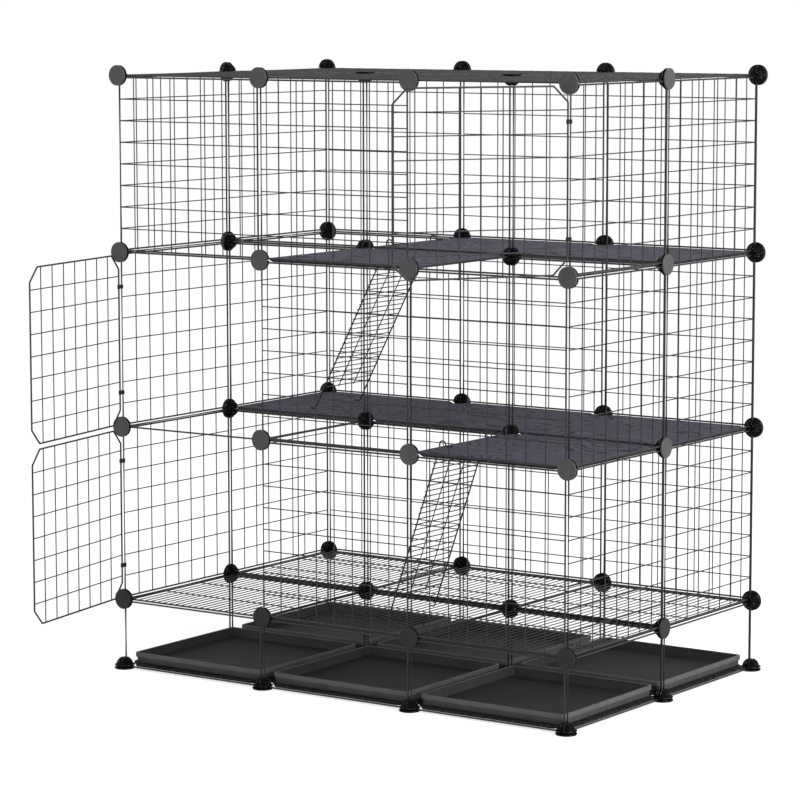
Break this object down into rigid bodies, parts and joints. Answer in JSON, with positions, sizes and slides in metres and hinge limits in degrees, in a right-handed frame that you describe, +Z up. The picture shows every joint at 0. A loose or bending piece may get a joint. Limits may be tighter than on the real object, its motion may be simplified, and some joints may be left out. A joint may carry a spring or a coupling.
{
  "type": "pet crate",
  "caption": "Grid panel pet crate on a two by three cell plan: wire panels held by round snap connectors, wooden shelves, hinged doors, wire ramps and litter trays under a mesh floor.",
  "frame": {"origin": "middle of the front left foot's underside, on the ground, where the grid's left and front planes meet", "axes": "+X to the right along the front, +Y to the back, +Z up"},
  "size_m": [1.106, 1.076, 1.2295],
  "materials": {
    "black_wire": "black powder coat, satin",
    "connector_plastic": "moulded, matt",
    "clip_plastic": "moulded, matt",
    "tray_plastic": "vacuum formed, satin",
    "board_wood": "grey stained wood grain, satin"
  },
  "bodies": {
    "crate": {"foot_connectors": "connector_plastic", "rim_connectors_1": "connector_plastic", "rim_connectors_2": "connector_plastic", "rim_connectors_3": "connector_plastic", "rim_connectors_4": "connector_plastic", "hub_connectors_1": "connector_plastic", "hub_connectors_2": "connector_plastic", "hub_connectors_3": "connector_plastic", "hub_connectors_4": "connector_plastic", "base_frames_front": "black_wire", "base_frames_back": "black_wire", "base_frames_left": "black_wire", "base_frames_right": "black_wire", "base_frames_inner": "black_wire", "base_boards_front": "board_wood", "base_boards_back": "board_wood", "floor_mesh_front": "black_wire", "floor_mesh_back": "black_wire", "front_panels_1": "black_wire", "front_panels_2": "black_wire", "front_panels_3": "black_wire", "back_panels_1": "black_wire", "back_panels_2": "black_wire", "back_panels_3": "black_wire", "left_panels_1": "black_wire", "left_panels_2": "black_wire", "left_panels_3": "black_wire", "right_panels_1": "black_wire", "right_panels_2": "black_wire", "right_panels_3": "black_wire", "inner_frames_1": "black_wire", "inner_frames_2": "black_wire", "inner_frames_3": "black_wire", "shelf_frames_2": "black_wire", "shelf_frames_3": "black_wire", "top_panels_front": "black_wire", "top_panels_back": "black_wire", "shelf_2_front_right": "board_wood", "shelf_2_back_left": "board_wood", "shelf_2_back_middle": "board_wood", "shelf_2_back_right": "board_wood", "shelf_3_front_middle": "board_wood", "shelf_3_back_middle": "board_wood", "shelf_3_back_right": "board_wood", "hinge_clips_lower_left": "clip_plastic", "hinge_clips_middle_left": "clip_plastic", "hinge_clips_upper_right": "clip_plastic"},
    "door_lower_left": {"door_lower_left": "black_wire"},
    "door_middle_left": {"door_middle_left": "black_wire"},
    "door_upper_right": {"door_upper_right": "black_wire"},
    "tray_front_left": {"tray_front_left": "tray_plastic"},
    "tray_front_middle": {"tray_front_middle": "tray_plastic"},
    "tray_front_right": {"tray_front_right": "tray_plastic"},
    "tray_back_left": {"tray_back_left": "tray_plastic"},
    "tray_back_middle": {"tray_back_middle": "tray_plastic"},
    "tray_back_right": {"tray_back_right": "tray_plastic"},
    "ramp_upper": {"ramp_upper": "black_wire"},
    "ramp_lower": {"ramp_lower": "black_wire"}
  },
  "joints": [
    {"name": "door_lower_left_hinge", "type": "hinge", "parent": "crate", "child": "door_lower_left", "pos_m": [0, -0.0049, 0.3215], "axis": [0, 0, -1], "range_deg": [-79.9, 90.1]},
    {"name": "door_middle_left_hinge", "type": "hinge", "parent": "crate", "child": "door_middle_left", "pos_m": [0, -0.0049, 0.6765], "axis": [0, 0, -1], "range_deg": [-79.9, 90.1]},
    {"name": "door_upper_right_hinge", "type": "hinge", "parent": "crate", "child": "door_upper_right", "pos_m": [1.065, -0.0049, 1.0315], "axis": [0, 0, 1], "range_deg": [-56.7, 113.3]},
    {"name": "tray_front_left_slide", "type": "slide", "parent": "crate", "child": "tray_front_left", "axis": [0, -1, 0], "range_m": [0, 0.3]},
    {"name": "tray_front_middle_slide", "type": "slide", "parent": "crate", "child": "tray_front_middle", "axis": [0, -1, 0], "range_m": [0, 0.3]},
    {"name": "tray_front_right_slide", "type": "slide", "parent": "crate", "child": "tray_front_right", "axis": [0, -1, 0], "range_m": [0, 0.3]},
    {"name": "tray_back_left_slide", "type": "slide", "parent": "crate", "child": "tray_back_left", "axis": [0, 1, 0], "range_m": [0, 0.3]},
    {"name": "tray_back_middle_slide", "type": "slide", "parent": "crate", "child": "tray_back_middle", "axis": [0, 1, 0], "range_m": [0, 0.3]},
    {"name": "tray_back_right_slide", "type": "slide", "parent": "crate", "child": "tray_back_right", "axis": [0, 1, 0], "range_m": [0, 0.3]},
    {"name": "ramp_upper_lift", "type": "hinge", "parent": "crate", "child": "ramp_upper", "pos_m": [0.376, 0.5235, 0.8559], "axis": [0, 1, 0], "range_deg": [0, 28]},
    {"name": "ramp_lower_lift", "type": "hinge", "parent": "crate", "child": "ramp_lower", "pos_m": [0.731, 0.1965, 0.5009], "axis": [0, 1, 0], "range_deg": [0, 60]}
  ]
}
